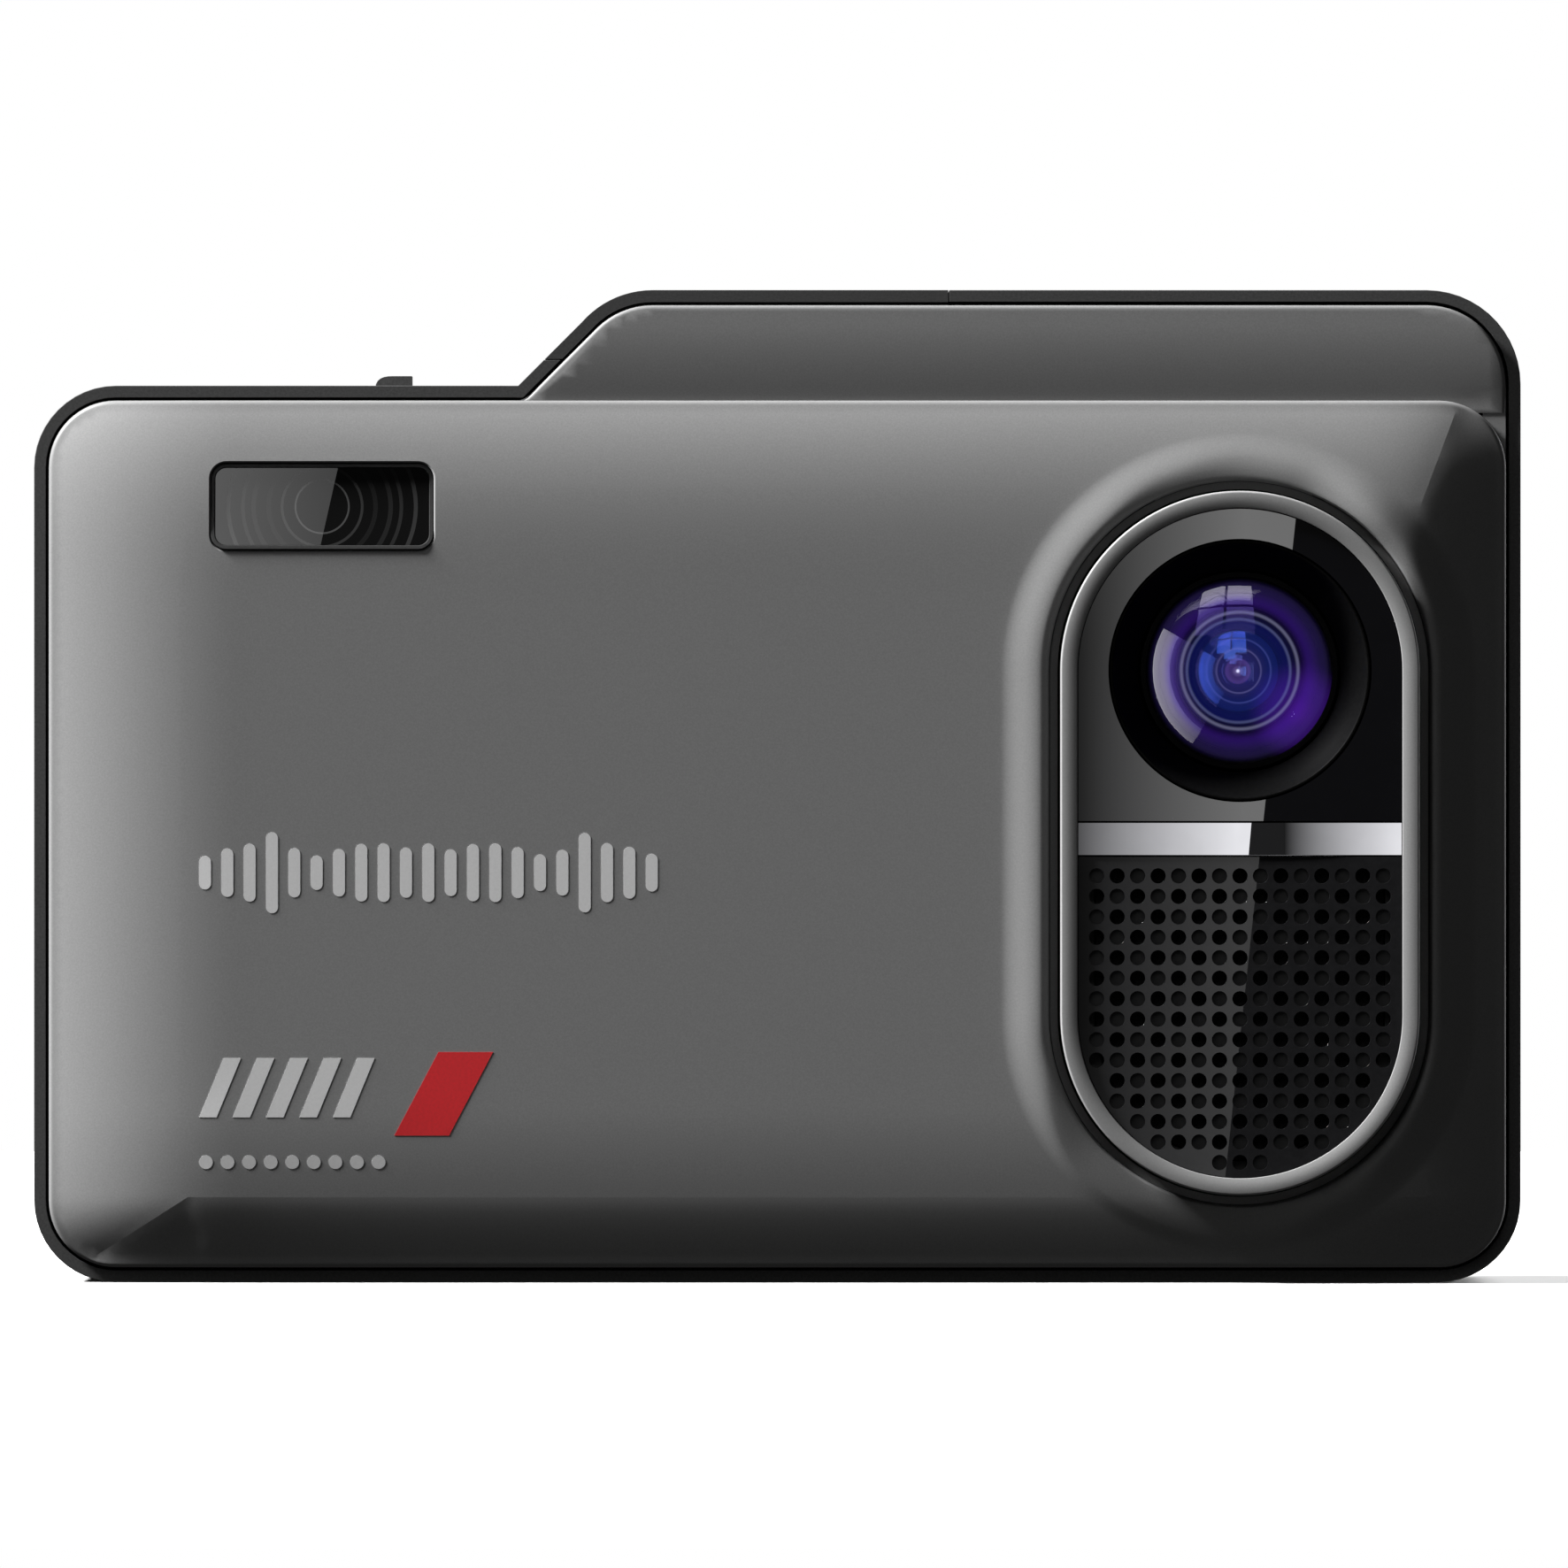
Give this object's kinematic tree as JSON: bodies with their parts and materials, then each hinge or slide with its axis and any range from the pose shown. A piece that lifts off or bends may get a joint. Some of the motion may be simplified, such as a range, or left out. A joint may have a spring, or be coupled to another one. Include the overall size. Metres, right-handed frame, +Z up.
{
  "type": "radar detector",
  "caption": "Windscreen radar and laser detector with a built-in dash camera: grey front shell with a stadium camera ring, speaker grille and laser window, screen behind.",
  "frame": {"origin": "centre of the body's footprint, on the plane of its underside", "axes": "+X to the right seen from the road side, +Y from the camera side to the screen side, +Z up"},
  "size_m": [0.0982, 0.03, 0.0654],
  "materials": {
    "cover_paint": "satin grey paint with a fine metallic fleck",
    "ring_paint": "satin grey paint, smoother than the cover",
    "frame_plastic": "fine spark-textured black plastic",
    "dock_plastic": "smooth satin black plastic",
    "key_plastic": "satin mid-grey plastic",
    "gloss_black": "high-gloss black acrylic",
    "chrome_trim": "bright chrome plate",
    "grille_plastic": "semi-gloss black",
    "grille_cloth": "open black acoustic mesh",
    "lens_black": "anti-glare black",
    "coated_glass": "blue and violet anti-reflection coating",
    "filter_glass": "thin pale green cut filter",
    "smoked_window": "smoked infrared plastic with ring steps behind",
    "window_lens": "smoked stepped condenser",
    "rubber": "matte black rubber",
    "circuit_board": "green solder mask",
    "ceramic_board": "pale microwave laminate",
    "chip_epoxy": "moulded black epoxy",
    "sensor_chip": "bare sensor under clear cover",
    "steel": "bright plated steel",
    "black_steel": "black zinc plated steel",
    "heatsink_aluminium": "bead blasted",
    "horn_metal": "die cast, clear passivated",
    "gold": "gold flash over nickel",
    "copper_wire": "enamelled copper wire",
    "magnet_nickel": "nickel plated magnet",
    "cone_paper": "coated paper cone",
    "ribbon_film": "amber polyimide film",
    "cell_sleeve": "dark blue heat-shrink sleeve",
    "patch_ceramic": "unglazed ceramic with a silvered top",
    "socket_steel": "tinned steel shell",
    "card_plastic": "satin black card",
    "switch_plastic": "natural plastic",
    "screen_glass": "black-bordered cover glass",
    "panel_metal": "panel in a pressed steel frame",
    "light_pipe": "clear light pipe with a green glow"
  },
  "bodies": {
    "case": {"front_cover": "cover_paint", "mid_frame": "frame_plastic", "rear_cover": "frame_plastic", "mount_dock": "dock_plastic", "dock_magnets": "magnet_nickel", "dock_contacts": "gold", "camera_bezel": "ring_paint", "camera_window": "gloss_black", "chrome_strip": "chrome_trim", "speaker_grille": "grille_plastic", "grille_cloth": "grille_cloth", "lens_hood": "lens_black", "lens_barrel": "lens_black", "lens_front_element": "coated_glass", "lens_spacer_ring": "lens_black", "lens_middle_element": "coated_glass", "lens_rear_element": "coated_glass", "lens_holder": "lens_black", "ir_filter": "filter_glass", "image_sensor": "sensor_chip", "camera_board": "circuit_board", "camera_ribbon": "ribbon_film", "camera_screws": "steel", "speaker_basket": "chip_epoxy", "speaker_surround": "rubber", "speaker_magnet": "magnet_nickel", "window_gasket": "rubber", "laser_window": "smoked_window", "laser_lens": "window_lens", "laser_sensor": "steel", "laser_board": "circuit_board", "main_board": "circuit_board", "processor": "chip_epoxy", "heatsink": "heatsink_aluminium", "memory_chips": "chip_epoxy", "board_screws": "steel", "microphone": "steel", "supercapacitors": "cell_sleeve", "clock_battery": "steel", "radar_horn": "horn_metal", "radar_board": "ceramic_board", "radar_shield": "steel", "gps_antenna": "patch_ceramic", "gps_board": "circuit_board", "card_socket": "socket_steel", "usb_port": "socket_steel", "key_switch": "chip_epoxy", "power_switch": "socket_steel", "display_glass": "screen_glass", "display_panel": "panel_metal", "display_ribbon": "ribbon_film", "status_light": "light_pipe", "case_screws": "black_steel"},
    "power_slider_body": {"power_slider": "frame_plastic", "slider_lever": "switch_plastic"},
    "side_key_body": {"side_key": "key_plastic", "switch_plunger": "switch_plastic"},
    "memory_card_body": {"memory_card": "card_plastic"},
    "speaker_cone_body": {"speaker_cone": "cone_paper", "voice_coil": "copper_wire"}
  },
  "joints": [
    {"name": "power_slider_travel", "type": "slide", "parent": "case", "child": "power_slider_body", "axis": [1, 0, 0], "range_m": [0, 0.0025]},
    {"name": "side_key_press", "type": "slide", "parent": "case", "child": "side_key_body", "axis": [1, 0, 0], "range_m": [0, 0.00025], "stiffness_N_per_m": 300},
    {"name": "memory_card_pull", "type": "slide", "parent": "case", "child": "memory_card_body", "axis": [-1, 0, 0], "range_m": [0, 0.018]},
    {"name": "speaker_cone_stroke", "type": "slide", "parent": "case", "child": "speaker_cone_body", "axis": [0, 1, 0], "range_m": [-0.00025, 0.00025], "stiffness_N_per_m": 20}
  ]
}
